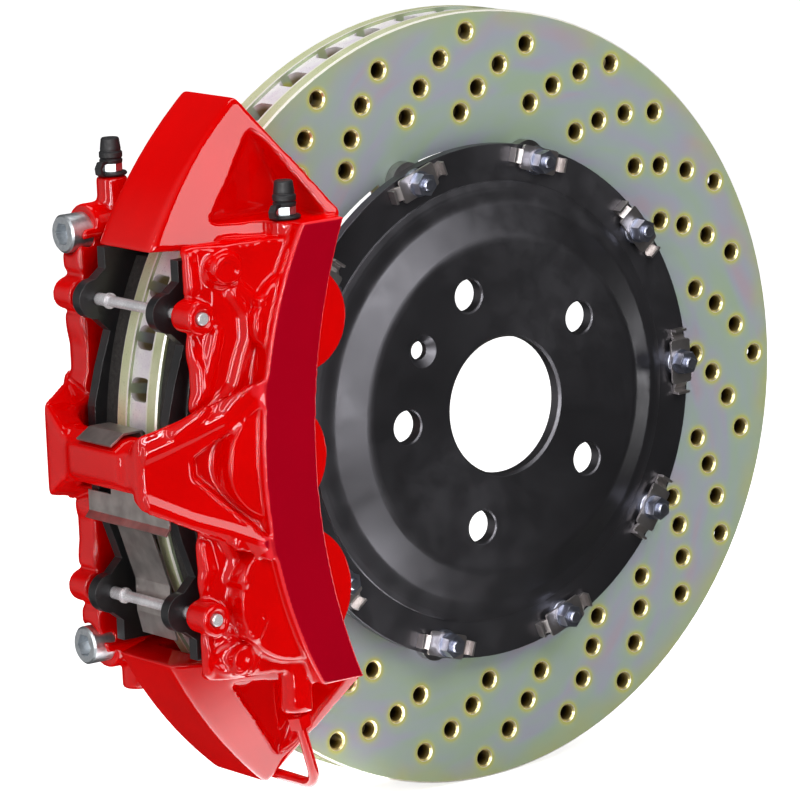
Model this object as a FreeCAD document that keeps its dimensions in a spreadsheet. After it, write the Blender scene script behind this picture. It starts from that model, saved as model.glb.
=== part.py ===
import FreeCAD, Part
import math
import os
import Sketcher

# A six-piston fixed brake caliper on a two-piece ventilated disc. Lengths are millimetres.
# Every sub-part is modelled about the disc's centre: Y is the wheel axle with the wheel at -Y
# (outboard), Z is up, and the caliper sits on the -X side. The placement of each sub-part
# then moves it along Y, so that the row's origin is the centre of the hub bore at the face
# that seats on the wheel hub.

Vec = FreeCAD.Vector

SIZES = {
    # friction ring
    "disc_plane": 33.5, "ring_radius": 190, "ring_inner": 124.5, "ring_half": 16,
    "rim_chamfer": 0.8, "rim_channel": 1.6, "cheek": 8.5, "vane_start": 131.5,
    "vent_count": 48, "vent_width": 11.5, "vent_corner": 4.6, "vent_phase": 5.7, "drill_repeats": 12, "drill_dia": 7.5,
    "sink_dia": 9.6, "drill_radius": 180.2, "drill_step": 5.55, "drill_phase": -0.95,
    # drive points between ring and hat
    "drive_count": 10, "drive_radius": 119.5, "drive_phase": 1.45, "lug_width": 26,
    "lug_inner": 111.5, "bobbin_radius": 6, "collar_radius": 9.5, "float_gap": 0.25,
    "drive_bolt_radius": 3, "running_gap": 0.05,
    # hat
    "flange_radius": 126, "flange_front": 27, "flange_thick": 5.5, "hat_front": 40,
    "hat_thick": 6.5, "hat_face_radius": 82, "hat_wall_radius": 107, "hub_bore": 33.55,
    "wheel_circle": 60, "wheel_bolts": 5, "wheel_hole": 8, "wheel_phase": 109.5,
    "locator_radius": 4.5, "locator_circle": 59.5, "locator_phase": 145.5,
    # caliper casting
    "roof_radius": 217, "slot_radius": 196, "slot_half": 20.5, "end_top": 166, "end_side": 138,
    "band_end": 112, "band_face": 67, "band_in": 133, "band_out": 163,
    "cavity_half": 41, "cavity_end": 98, "lip": 187, "body_half": 60,
    "bridge_low": 14, "bridge_high": 12, "bridge_out": 213, "bridge_in": 197.5,
    "bore_depth": 17, "housing_face": 62,
    "upper_bore_x": 135, "upper_bore_z": 64, "piston_upper": 15, "upper_wall": 10.5,
    "middle_bore_x": 152, "piston_middle": 17, "middle_wall": 11,
    "lower_bore_x": 145, "lower_bore_z": 65, "piston_lower": 19, "lower_wall": 13,
    "pin_x": 188, "pin_z": 71, "pin_radius": 3, "pin_boss": 7.8, "pin_end": 56,
    # pads
    "pad_gap": 0.5, "friction_thick": 10.5, "plate_thick": 6, "shim_thick": 0.8,
    "pad_outer": 188, "pad_half": 95, "spring_thick": 1,
    # fasteners and fluid fittings
    "mount_z": 100, "mount_y": 50, "mount_head_x": 180, "mount_head": 9.25,
    "mount_radius": 6, "mount_seat": 148, "mount_reach": 126, "head_room": 1.2,
    "bleed_out_x": 134, "bleed_out_y": 50, "bleed_out_z": 110,
    "bleed_in_x": 164, "bleed_in_y": 47, "bleed_in_z": 125,
    "pipe_radius": 2.5, "pipe_x": 142, "pipe_low": 162, "pipe_lean": 15, "pipe_bend": 9,
    "pipe_out_y": 52, "pipe_out_z": 124, "pipe_in_y": 33, "pipe_in_z": 140,
}

doc = FreeCAD.newDocument("BrakeCaliperWithDisc")
sheet = doc.addObject("Spreadsheet::Sheet", "Sizes")
for line, (word, number) in enumerate(SIZES.items(), 1):
    sheet.set("A%d" % line, word)
    sheet.set("B%d" % line, str(number))
    sheet.setAlias("B%d" % line, word)
doc.recompute()


class Size:
    """A number together with the spreadsheet expression that it comes from."""

    def __init__(self, value, text):
        self.value = float(value)
        self.text = text

    def __add__(self, other):
        other = size(other)
        return Size(self.value + other.value, "(%s + %s)" % (self.text, other.text))

    def __sub__(self, other):
        other = size(other)
        return Size(self.value - other.value, "(%s - %s)" % (self.text, other.text))

    def __mul__(self, other):
        other = size(other)
        return Size(self.value * other.value, "(%s * %s)" % (self.text, other.text))

    def __truediv__(self, other):
        other = size(other)
        return Size(self.value / other.value, "(%s / %s)" % (self.text, other.text))

    def __neg__(self):
        return Size(-self.value, "(-%s)" % self.text)

    def __radd__(self, other):
        return size(other) + self

    def __rsub__(self, other):
        return size(other) - self

    def __rmul__(self, other):
        return size(other) * self

    def __rtruediv__(self, other):
        return size(other) / self


def size(number):
    """Wraps a plain number, and leaves a Size as it is."""
    return number if isinstance(number, Size) else Size(number, "%.6g" % number)


def cosine(degrees):
    degrees = size(degrees)
    return Size(math.cos(math.radians(degrees.value)), "cos(%s)" % degrees.text)


def sine(degrees):
    degrees = size(degrees)
    return Size(math.sin(math.radians(degrees.value)), "sin(%s)" % degrees.text)


class Sheet:
    """Reads the spreadsheet's cells by alias, as Size objects."""

    def __getattr__(self, word):
        return Size(getattr(sheet, word), "Sizes." + word)


S = Sheet()
bodies = []


def bind(item, prop, amount):
    """Sets a property, and binds it to the sheet where its size comes from there."""
    amount = size(amount)
    if "." not in prop:
        setattr(item, prop, amount.value)
    if "Sizes." in amount.text:
        item.setExpression(prop, amount.text)


def new_body(label):
    body = doc.addObject("PartDesign::Body", label)
    body.Label = label
    body.Placement = FreeCAD.Placement(Vec(0, S.disc_plane.value, 0), FreeCAD.Rotation())
    body.setExpression("Placement.Base.y", "Sizes.disc_plane")
    bodies.append(body)
    return body


def new_sketch(body, name, role, offset=0, turn=None, shift=(0, 0)):
    """A sketch on one of the body's own origin planes, offset along that plane's normal.

    On XZ_Plane the normal is -Y, so an offset there counts outboard.
    """
    sketch = body.newObject("Sketcher::SketchObject", name)
    plane = [item for item in body.Origin.OriginFeatures if item.Role == role][0]
    sketch.AttachmentSupport = [(plane, "")]
    sketch.MapMode = "FlatFace"
    offset = size(offset)
    turn = turn or FreeCAD.Rotation()
    sketch.AttachmentOffset = FreeCAD.Placement(Vec(*shift, offset.value), turn)
    if "Sizes." in offset.text:
        sketch.setExpression("AttachmentOffset.Base.z", offset.text)
    return sketch


def pin_point(sketch, line, end, x, y):
    """Fixes one end (or the centre, end 3) of a sketch element at a point."""
    for kind, amount in (("DistanceX", size(x)), ("DistanceY", size(y))):
        place = Sketcher.Constraint(kind, -1, 1, line, end, amount.value)
        number = sketch.addConstraint(place)
        if "Sizes." in amount.text:
            sketch.setExpression("Constraints[%d]" % number, amount.text)


def set_radius(sketch, line, radius):
    number = sketch.addConstraint(Sketcher.Constraint("Radius", line, size(radius).value))
    if "Sizes." in size(radius).text:
        sketch.setExpression("Constraints[%d]" % number, size(radius).text)


def circle(sketch, x, y, radius):
    shape = Part.Circle(Vec(size(x).value, size(y).value, 0), Vec(0, 0, 1), size(radius).value)
    line = sketch.addGeometry(shape, False)
    pin_point(sketch, line, 3, x, y)
    set_radius(sketch, line, radius)


def arc_between(start, end, radius):
    """The arc of a signed radius: positive bulges to the right of the way from start to end."""
    (x1, y1), (x2, y2) = start, end
    chord = math.hypot(x2 - x1, y2 - y1)
    reach = math.sqrt(max(radius * radius - chord * chord / 4, 0.0))
    side = 1 if radius > 0 else -1
    left = Vec(-(y2 - y1) / chord, (x2 - x1) / chord, 0)
    centre = Vec((x1 + x2) / 2, (y1 + y2) / 2, 0) + left * (side * reach)
    first = math.atan2(y1 - centre.y, x1 - centre.x)
    last = math.atan2(y2 - centre.y, x2 - centre.x)
    full = Part.Circle(centre, Vec(0, 0, 1), abs(radius))
    if radius > 0:
        return Part.ArcOfCircle(full, first, last), 1, 2
    return Part.ArcOfCircle(full, last, first), 2, 1


def fix_bend(sketch, line, point, after):
    """Fixes an arc's radius, or the centre of a half circle, whose radius its ends give."""
    bend = size(point[2])
    if bend.value < 0:
        bend = -bend
    across = size(after[0]) - point[0]
    up = size(after[1]) - point[1]
    if math.hypot(across.value, up.value) < 2 * bend.value - 1e-6:
        set_radius(sketch, line, bend)
        return
    kind, middle = "DistanceX", (size(after[0]) + point[0]) / 2
    if abs(across.value) > abs(up.value):
        kind, middle = "DistanceY", (size(after[1]) + point[1]) / 2
    number = sketch.addConstraint(Sketcher.Constraint(kind, -1, 1, line, 3, middle.value))
    if "Sizes." in middle.text:
        sketch.setExpression("Constraints[%d]" % number, middle.text)


def outline(sketch, points):
    """A closed outline. A point is (x, y), or (x, y, radius) where an arc leads to the next."""
    count = len(points)
    ends = []
    for place, point in enumerate(points):
        after = points[(place + 1) % count]
        start = (size(point[0]).value, size(point[1]).value)
        end = (size(after[0]).value, size(after[1]).value)
        if len(point) == 3:
            shape, head, tail = arc_between(start, end, size(point[2]).value)
        else:
            shape, head, tail = Part.LineSegment(Vec(*start, 0), Vec(*end, 0)), 1, 2
        line = sketch.addGeometry(shape, False)
        ends.append((line, head, tail))
    for place, point in enumerate(points):
        line, head, _ = ends[place]
        before, _, tail = ends[place - 1]
        sketch.addConstraint(Sketcher.Constraint("Coincident", before, tail, line, head))
        pin_point(sketch, line, head, point[0], point[1])
        if len(point) == 3:
            fix_bend(sketch, line, point, points[(place + 1) % count])


def rounded(sketch, x0, y0, x1, y1, corner):
    """A rectangle with rounded corners, drawn anticlockwise."""
    outline(sketch, [
        (x0 + corner, y0), (x1 - corner, y0, corner), (x1, y0 + corner), (x1, y1 - corner, corner),
        (x1 - corner, y1), (x0 + corner, y1, corner), (x0, y1 - corner), (x0, y0 + corner, corner),
    ])


def rectangle(sketch, x0, y0, x1, y1):
    outline(sketch, [(x0, y0), (x1, y0), (x1, y1), (x0, y1)])


def extrude(kind, body, sketch, length, symmetric=False, backwards=False):
    """A Pad or Pocket. A symmetric one has its sketch in the middle of its length."""
    feature = body.newObject("PartDesign::" + kind, kind + "_" + sketch.Name)
    feature.Profile = sketch
    bind(feature, "Length", length)
    feature.SideType = "Symmetric" if symmetric else "One side"
    feature.Reversed = backwards
    sketch.Visibility = False
    return feature


def turn(kind, body, sketch, angle=360, axis="V_Axis"):
    """A Revolution or Groove about one of the sketch's axes."""
    feature = body.newObject("PartDesign::" + kind, kind + "_" + sketch.Name)
    feature.Profile = sketch
    feature.ReferenceAxis = (sketch, [axis])
    feature.Angle = angle
    return feature


def repeat_around(body, features, count):
    """A polar pattern about the wheel axle."""
    axle = [item for item in body.Origin.OriginFeatures if item.Role == "Y_Axis"][0]
    pattern = body.newObject("PartDesign::PolarPattern", "Around_" + features[0].Name)
    pattern.Originals = features
    pattern.Axis = (axle, [""])
    pattern.Angle = 360
    pattern.Occurrences = int(count.value)
    pattern.setExpression("Occurrences", count.text)
    body.Tip = pattern
    return pattern


def turned_part(label, section, x=0, z=0, direction="Y"):
    """A body of revolution about its own axis through (x, z), from (radius, along) points."""
    body = new_body(label)
    sketch = new_sketch(body, label + "_section", "XY_Plane")
    outline(sketch, section)
    turn("Revolution", body, sketch)
    body.Placement = FreeCAD.Placement(
        Vec(size(x).value, S.disc_plane.value, size(z).value), FreeCAD.Rotation())
    body.setExpression("Placement.Base.x", size(x).text)
    body.setExpression("Placement.Base.z", size(z).text)
    return body


def group(label, master, places):
    """Copies of a master body's solid, each moved by a placement, as one sub-part."""
    doc.recompute()
    base = master.Shape.copy()
    base.Placement = FreeCAD.Placement()
    copies = []
    for place in places:
        copy = base.copy()
        copy.Placement = place
        copies.append(copy)
    item = doc.addObject("Part::Feature", label)
    item.Label = label
    item.Shape = Part.makeCompound(copies)
    item.Placement = FreeCAD.Placement(Vec(0, S.disc_plane.value, 0), FreeCAD.Rotation())
    bodies.remove(master)
    bodies.append(item)
    return item


def drive_places():
    """One placement for each drive point: the master is modelled at phase zero."""
    step = 360 / int(S.drive_count.value)
    start = S.drive_phase.value
    turns = [start + step * number for number in range(int(S.drive_count.value))]
    return [FreeCAD.Placement(Vec(), FreeCAD.Rotation(Vec(0, -1, 0), angle)) for angle in turns]


# ---------------------------------------------------------------- friction ring
def make_disc_ring():
    body = new_body("disc_ring")
    section = new_sketch(body, "ring_section", "XY_Plane")
    edge = S.ring_radius - S.rim_chamfer
    flat = S.ring_half - S.rim_chamfer
    outline(section, [
        (S.ring_inner, -S.ring_half), (edge, -S.ring_half), (S.ring_radius, -flat),
        (S.ring_radius, flat), (edge, S.ring_half), (S.ring_inner, S.ring_half),
    ])
    turn("Revolution", body, section)

    # Radial vents between the two cheeks leave the vanes standing.
    vent = new_sketch(body, "vent", "YZ_Plane", S.ring_radius + 2)
    tall = S.ring_half - S.cheek
    wide = S.vent_width / 2
    rounded(vent, -tall, -wide, tall, wide, S.vent_corner)
    vents = extrude("Pocket", body, vent, S.ring_radius - S.ring_inner + 10)
    repeat_around(body, [vents], S.vent_count)
    relief = new_sketch(body, "vane_relief", "XY_Plane")
    rectangle(relief, S.ring_inner - 1, -tall, S.vane_start, tall)
    turn("Groove", body, relief)

    rim = new_sketch(body, "rim_channel", "XY_Plane")
    rectangle(rim, S.ring_radius - S.rim_channel, -tall, S.ring_radius + 1, tall)
    turn("Groove", body, rim)

    # Lugs on the outboard cheek reach inwards to the bobbins, each with an open slot.
    lug = new_sketch(body, "lug", "XZ_Plane", S.ring_half)
    phase = S.drive_phase - S.vent_phase
    swung_outline(lug, phase, [
        (S.lug_inner, -S.lug_width / 2), (S.ring_inner + 3, -S.lug_width / 2),
        (S.ring_inner + 3, S.lug_width / 2), (S.lug_inner, S.lug_width / 2),
    ])
    lugs = extrude("Pad", body, lug, S.cheek, backwards=True)
    slot = new_sketch(body, "lug_slot", "XZ_Plane", S.ring_half)
    half = S.bobbin_radius + S.running_gap
    swung_outline(slot, phase, [
        (S.lug_inner - 1, -half), (S.drive_radius, -half, half), (S.drive_radius, half),
        (S.lug_inner - 1, half),
    ])
    slots = extrude("Pocket", body, slot, S.cheek)
    repeat_around(body, [lugs, slots], S.drive_count)

    # Drilling: two curved rows of four holes in each sector, countersunk on both faces.
    doc.recompute()
    drills = []
    for name, offset, backwards in (("out", S.ring_half, False), ("in", -S.ring_half, True)):
        sketch = new_sketch(body, "drilling_" + name, "XZ_Plane", offset)
        for number in range(8):
            inward = S.drill_step * number
            row = 180 / S.drill_repeats * (number % 2)
            angle = S.drill_phase - S.vent_phase + row + inward * 0.509 - inward * inward * 0.002
            radius = S.drill_radius - inward
            circle(sketch, radius * cosine(angle), radius * sine(angle), S.drill_dia / 2)
        doc.recompute()
        hole = body.newObject("PartDesign::Hole", "drilled_" + name)
        hole.Profile = sketch
        doc.recompute()
        bind(hole, "Diameter", S.drill_dia)
        hole.DepthType = "Dimension"
        bind(hole, "Depth", S.ring_half)
        hole.DrillPoint = "Flat"
        hole.HoleCutType = "Countersink"
        hole.HoleCutCountersinkAngle = 90
        bind(hole, "HoleCutDiameter", S.sink_dia)
        hole.Reversed = backwards
        drills.append(hole)
    repeat_around(body, drills, S.drill_repeats)
    body.Placement = FreeCAD.Placement(
        Vec(0, S.disc_plane.value, 0), FreeCAD.Rotation(Vec(0, -1, 0), S.vent_phase.value))
    return body


def swung_outline(sketch, phase, points):
    """An outline given as (radial, sideways) points, turned about the disc's centre."""
    turned = []
    for point in points:
        along, side = size(point[0]), size(point[1])
        x = along * cosine(phase) - side * sine(phase)
        y = along * sine(phase) + side * cosine(phase)
        turned.append((x, y) + tuple(point[2:]))
    outline(sketch, turned)


# ---------------------------------------------------------------- hat
def make_hat():
    body = new_body("hat")
    section = new_sketch(body, "hat_section", "XY_Plane")
    face = S.hat_front - S.hat_thick
    back = S.flange_front - S.flange_thick
    outline(section, [
        (S.hub_bore, -S.hat_front), (S.hat_face_radius, -S.hat_front),
        (S.hat_wall_radius - 2, -S.flange_front - 1.6), (S.hat_wall_radius + 1, -S.flange_front - 0.8),
        (S.hat_wall_radius + 1, -S.flange_front), (S.flange_radius, -S.flange_front),
        (S.flange_radius, -back), (S.hat_wall_radius - 4, -back),
        (S.hat_face_radius - 4, -face), (S.hub_bore, -face),
    ])
    turn("Revolution", body, section)
    doc.recompute()

    soften(body, "soft_face", S.hat_face_radius, S.hat_front, 9)
    soften(body, "soft_wall", S.hat_wall_radius - 2, S.flange_front + 1.6, 8)
    soften(body, "bore_edge", S.hub_bore, S.hat_front, 1.2, kind="Chamfer")

    wheel = new_sketch(body, "wheel_hole", "XZ_Plane", S.hat_front)
    circle(wheel, S.wheel_circle * cosine(S.wheel_phase), S.wheel_circle * sine(S.wheel_phase),
           S.wheel_hole)
    doc.recompute()
    hole = countersunk(body, "wheel_holes", wheel, S.wheel_hole * 2, S.wheel_hole * 2 + 1.4)
    repeat_around(body, [hole], S.wheel_bolts)

    locator = new_sketch(body, "locator_hole", "XZ_Plane", S.hat_front)
    circle(locator, S.locator_circle * cosine(S.locator_phase),
           S.locator_circle * sine(S.locator_phase), S.locator_radius)
    doc.recompute()
    countersunk(body, "locator", locator, S.locator_radius * 2, S.locator_radius * 2 + 7)

    slot = new_sketch(body, "bobbin_slot", "XZ_Plane", S.flange_front + 1)
    half = S.drive_bolt_radius + 2
    swung_outline(slot, S.drive_phase, [
        (S.drive_radius - 2, -half), (S.drive_radius, -half, half), (S.drive_radius, half),
        (S.drive_radius - 2, half, half),
    ])
    slots = extrude("Pocket", body, slot, S.flange_thick + 2)
    repeat_around(body, [slots], S.drive_count)
    return body


def soften(body, name, radius, outboard, amount, kind="Fillet"):
    """A fillet or chamfer on the circular edge of a given radius and outboard distance."""
    doc.recompute()
    base = body.Tip
    wanted = []
    for number, edge in enumerate(base.Shape.Edges, 1):
        middle = edge.BoundBox.Center
        big = edge.BoundBox.XLength / 2
        near = abs(big - size(radius).value) < 0.3 and abs(middle.y + size(outboard).value) < 0.3
        if near and math.hypot(middle.x, middle.z) < 0.5:
            wanted.append("Edge%d" % number)
    feature = body.newObject("PartDesign::" + kind, name)
    feature.Base = (base, wanted[:1])
    bind(feature, "Radius" if kind == "Fillet" else "Size", amount)
    body.Tip = feature
    return feature


def countersunk(body, name, sketch, diameter, mouth):
    hole = body.newObject("PartDesign::Hole", name)
    hole.Profile = sketch
    doc.recompute()
    bind(hole, "Diameter", diameter)
    hole.DepthType = "ThroughAll"
    hole.HoleCutType = "Countersink"
    hole.HoleCutCountersinkAngle = 90
    bind(hole, "HoleCutDiameter", mouth)
    body.Tip = hole
    return hole


# ---------------------------------------------------------------- drive points
def make_drive_points():
    """The bobbins with their bolts, washers, clips and nuts, ten of each."""
    face = S.flange_front
    lug_back = S.ring_half - S.cheek
    collar = face - S.flange_thick
    near = S.ring_half + S.float_gap
    far = lug_back - S.float_gap
    tail = far - 2.5
    bore = S.drive_bolt_radius + S.running_gap
    bobbin = turned_part("bobbin", [
        (bore, -face), (S.drive_bolt_radius + 1.95, -face), (S.drive_bolt_radius + 1.95, -collar),
        (S.collar_radius, -collar), (S.collar_radius, -near), (S.bobbin_radius, -near),
        (S.bobbin_radius, -far), (S.collar_radius, -far), (S.collar_radius, -tail), (bore, -tail),
    ])
    group("bobbins", bobbin, moved_out())

    bolt = turned_part("drive_bolt", [
        (0, -face - 12), (S.drive_bolt_radius - 0.6, -face - 12),
        (S.drive_bolt_radius, -face - 11.4), (S.drive_bolt_radius, -tail), (5, -tail),
        (5, -tail + 4.4), (4.4, -tail + 5), (2.2, -tail + 5), (2.2, -tail + 2), (0, -tail + 2),
    ])
    group("bobbin_bolts", bolt, moved_out())

    seat = face + 2.2
    washer = turned_part("washer", [
        (bore, -seat), (6.6, -seat), (7, -seat + 0.4), (7, -face), (bore, -face),
    ])
    group("bobbin_washers", washer, moved_out())

    top = seat + 1.2
    group("retainer_clips", make_clip(seat, top), drive_places())

    nut = new_body("nut")
    flange = new_sketch(nut, "nut_flange", "XZ_Plane", top)
    circle(flange, 0, 0, 6.2)
    extrude("Pad", nut, flange, 1.2)
    hexagon = new_sketch(nut, "nut_hexagon", "XZ_Plane", top + 1.2)
    six_sided(hexagon, 0, 0, 5)
    extrude("Pad", nut, hexagon, 5.2)
    hole = new_sketch(nut, "nut_hole", "XZ_Plane", top + 8)
    circle(hole, 0, 0, bore)
    extrude("Pocket", nut, hole, 10)
    group("bobbin_nuts", nut, moved_out())


def moved_out():
    """The drive places for a part modelled on the axle instead of at the drive radius."""
    out = FreeCAD.Placement(Vec(S.drive_radius.value, 0, 0), FreeCAD.Rotation())
    return [place.multiply(out) for place in drive_places()]


def six_sided(sketch, x, y, flat, start=0):
    """A hexagon with the given distance from its centre to its flats."""
    reach = size(flat) / cosine(30)
    points = []
    for corner in range(6):
        angle = start + 60 * corner
        points.append((x + reach * cosine(angle), y + reach * sine(angle)))
    outline(sketch, points)


def make_clip(seat, top):
    """A stamped spring clip: a plate under the nut, with a stepped foot and a lip at each end."""
    clip = new_body("clip")
    low = S.flange_front + 0.1
    thick = top - seat
    fold = new_sketch(clip, "clip_fold", "YZ_Plane", S.drive_radius - 3.2)
    half = 11
    foot = 16.4
    outline(fold, [
        (-top, -half), (-top, half), (-low - thick, half + 2.4), (-low - thick, foot - thick),
        (-low - 4.6, foot - thick), (-low - 4.6, foot), (-low, foot), (-low, half + 1.2),
        (-seat, half - 1.2), (-seat, -half + 1.2), (-low, -half - 1.2), (-low, -foot),
        (-low - 4.6, -foot), (-low - 4.6, -foot + thick), (-low - thick, -foot + thick),
        (-low - thick, -half - 2.4),
    ])
    extrude("Pad", clip, fold, 7)
    plate = new_sketch(clip, "clip_plate", "XZ_Plane", seat)
    rounded(plate, S.drive_radius - 5.6, -half, S.drive_radius + 6.4, half, 1.4)
    extrude("Pad", clip, plate, thick)
    hole = new_sketch(clip, "clip_hole", "XZ_Plane", top + 1)
    circle(hole, S.drive_radius, 0, S.drive_bolt_radius + 0.3)
    extrude("Pocket", clip, hole, thick + 2)
    return clip


# ---------------------------------------------------------------- caliper casting
def bore_list():
    """Name, centre and radius of the three piston bores of each side."""
    return [
        ("upper", S.upper_bore_x, S.upper_bore_z, S.piston_upper),
        ("middle", S.middle_bore_x, size(0), S.piston_middle),
        ("lower", S.lower_bore_x, -S.lower_bore_z, S.piston_lower),
    ]


def make_caliper_body():
    body = new_body("caliper_body")
    caliper_shell(body)
    caliper_walls(body)
    caliper_bridge(body)
    caliper_housings(body)
    caliper_band(body)
    caliper_pockets(body)
    caliper_bosses(body)
    caliper_mounts(body)
    caliper_cavities(body)
    caliper_bores(body)
    return body


def caliper_shell(body):
    """The end bridges: an arched block around the rim, bevelled towards both sides."""
    plan = new_sketch(body, "side_view", "XZ_Plane")
    x, z = -S.end_side, S.end_top
    outline(plan, [
        (x, z, S.roof_radius), (x, -z), (-S.band_in + 24, -S.band_end),
        (-S.band_in + 24, -S.band_end + 2, -S.band_in * 2.05), (-S.band_in + 24, S.band_end - 2),
        (-S.band_in + 24, S.band_end),
    ])
    extrude("Pad", body, plan, S.body_half * 2, symmetric=True)
    bevel = new_sketch(body, "side_bevel", "XY_Plane")
    outer = S.roof_radius + 8
    for side in (-1, 1):
        outline(bevel, [
            (S.roof_radius + 1.5, side * 19), (outer, side * 19), (outer, side * (S.body_half + 2)),
            (S.roof_radius - 64, side * (S.body_half + 2)),
        ])
    turn("Groove", body, bevel)


def caliper_walls(body):
    """The two side walls beside the windows, with the piston housings standing on them."""
    wall = new_sketch(body, "side_walls", "XY_Plane")
    inner = S.cavity_half - 3
    outline(wall, [
        (-S.lip, -inner), (-S.lip, -S.cavity_half - 4), (-S.lip + 9, -S.cavity_half - 10),
        (-S.band_out + 3, -S.body_half + 5), (-S.band_in + 2, -S.body_half), (-S.band_in + 2, -inner),
    ])
    outline(wall, [
        (-S.lip, inner), (-S.lip - 1, S.cavity_half + 13), (-S.lip + 9, S.body_half),
        (-S.band_in + 2, S.body_half), (-S.band_in + 2, inner),
    ])
    extrude("Pad", body, wall, S.cavity_end * 2 + 10, symmetric=True)


def caliper_housings(body):
    """The piston housings, three a side, standing proud of the walls."""
    walls = (S.upper_wall, S.middle_wall, S.lower_wall)
    for (name, x, z, radius), wall in zip(bore_list(), walls):
        housing = new_sketch(body, "housing_" + name, "XZ_Plane")
        circle(housing, -x, z, radius + wall)
        extrude("Pad", body, housing, S.housing_face * 2, symmetric=True)


def caliper_band(body):
    """The flat curved band along the outboard face."""
    band = new_sketch(body, "face_band", "XZ_Plane", S.body_half - 6)
    bow_out = 229
    bow_in = 288
    end = S.band_end - 2
    outline(band, [
        (-S.band_out + 27, end, bow_out), (-S.band_out + 27, -end),
        (-S.band_in + 21, -end, -bow_in), (-S.band_in + 21, end),
    ])
    extrude("Pad", body, band, S.band_face - S.body_half + 6)


def caliper_bridge(body):
    """The centre bridge over the windows, flaring into two ribs on the outboard slope."""
    bridge = new_sketch(body, "bridge_plan", "YZ_Plane", -S.bridge_out)
    high, low = S.bridge_high, -S.bridge_low
    outline(bridge, [
        (-S.band_face + 1, 40), (-S.cavity_half, 21), (-26, high), (30, high),
        (S.cavity_half, 22), (S.body_half, 32), (S.body_half, -30), (S.cavity_half, -22),
        (30, low), (-26, low), (-S.cavity_half, -24), (-S.band_face + 1, -46),
    ])
    extrude("Pad", body, bridge, S.bridge_out - S.band_out + 8)
    slope = new_sketch(body, "bridge_slope", "XY_Plane")
    outline(slope, [
        (-S.bridge_out - 1, -34), (-S.band_out + 1, -S.band_face), (-S.bridge_out - 1, -S.band_face),
    ])
    outline(slope, [
        (-S.bridge_out - 1, 42), (-S.bridge_out - 1, S.body_half + 1),
        (-S.band_out - 20, S.body_half + 1),
    ])
    extrude("Pocket", body, slope, 110, symmetric=True)
    tilt = FreeCAD.Rotation(Vec(0, 1, 0), -34)
    recess = new_sketch(body, "bridge_recess", "XZ_Plane", 53.2, turn=tilt, shift=(-185, 0))
    outline(recess, [(-8, -4), (26, -36), (26, 28), (-8, 5)])
    extrude("Pocket", body, recess, 7)
    edges = new_sketch(body, "bridge_edges", "XZ_Plane")
    for edge, inwards in ((high, -1), (low, 1)):
        outline(edges, [
            (-S.roof_radius - 0.2, edge + inwards * 7), (-S.bridge_out + 7, edge - inwards * 0.1),
            (-S.roof_radius - 0.2, edge - inwards * 0.1),
        ])
    extrude("Pocket", body, edges, 56, symmetric=True)


def caliper_bosses(body):
    """Pad pin bosses, the round bosses on the slope and the seats of the fluid fittings."""
    for name, side in (("upper", 1), ("lower", -1)):
        pins = new_sketch(body, "pin_boss_" + name, "XZ_Plane")
        circle(pins, -S.pin_x, side * S.pin_z, S.pin_boss)
        extrude("Pad", body, pins, S.pin_end * 2, symmetric=True)
        knob = new_sketch(body, "round_boss_" + name, "XZ_Plane", S.cavity_half)
        circle(knob, -S.pin_x + 16, side * (S.pin_z + 22), 7.5)
        extrude("Pad", body, knob, 16)
    fittings = (
        ("bleed_outboard", S.bleed_out_x, -S.bleed_out_y, S.bleed_out_z - 22, 22, 8.5),
        ("bleed_inboard", S.bleed_in_x, S.bleed_in_y, S.bleed_in_z - 34, 34, 7.5),
        ("blank_inboard", S.bleed_in_x, S.bleed_in_y, -S.bleed_in_z, 34, 7.5),
        ("pipe_outboard", S.pipe_x, -S.pipe_out_y, -S.pipe_out_z, 30, 8),
        ("pipe_inboard", S.pipe_x - 4.3, S.pipe_in_y, -S.pipe_in_z, 30, 8),
    )
    for name, x, y, low, height, radius in fittings:
        seat = new_sketch(body, name + "_seat", "XY_Plane", low)
        circle(seat, -x, y, radius)
        extrude("Pad", body, seat, height)
    clear = new_sketch(body, "pipe_inboard_clear", "XY_Plane", -S.pipe_in_z)
    circle(clear, -S.pipe_x + 4.3, S.pipe_in_y, 8)
    extrude("Pocket", body, clear, S.end_top - S.pipe_in_z + 5)
    port = new_sketch(body, "hose_port", "XZ_Plane", -S.housing_face - 6)
    circle(port, -S.middle_bore_x, 36, 9)
    extrude("Pad", body, port, 24)


def caliper_mounts(body):
    """The two ears on the inboard side that the radial mounting bolts pass through."""
    for name, side in (("upper", 1), ("lower", -1)):
        ear = new_sketch(body, "ear_" + name, "YZ_Plane", -S.mount_head_x)
        circle(ear, S.mount_y, side * S.mount_z, 13)
        extrude("Pad", body, ear, S.mount_head_x - S.mount_seat)
        head = new_sketch(body, "head_seat_" + name, "YZ_Plane", -S.mount_head_x)
        circle(head, S.mount_y, side * S.mount_z, S.mount_head + S.head_room)
        extrude("Pocket", body, head, 20)
        bracket = new_sketch(body, "bracket_space_" + name, "XZ_Plane", -S.body_half - 3)
        low, high = side * (S.mount_z - 14), side * (S.mount_z + 20)
        rectangle(bracket, -S.mount_seat, low, -S.band_in + 40, high)
        extrude("Pocket", body, bracket, S.body_half + 3 - S.cavity_half, backwards=True)


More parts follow.
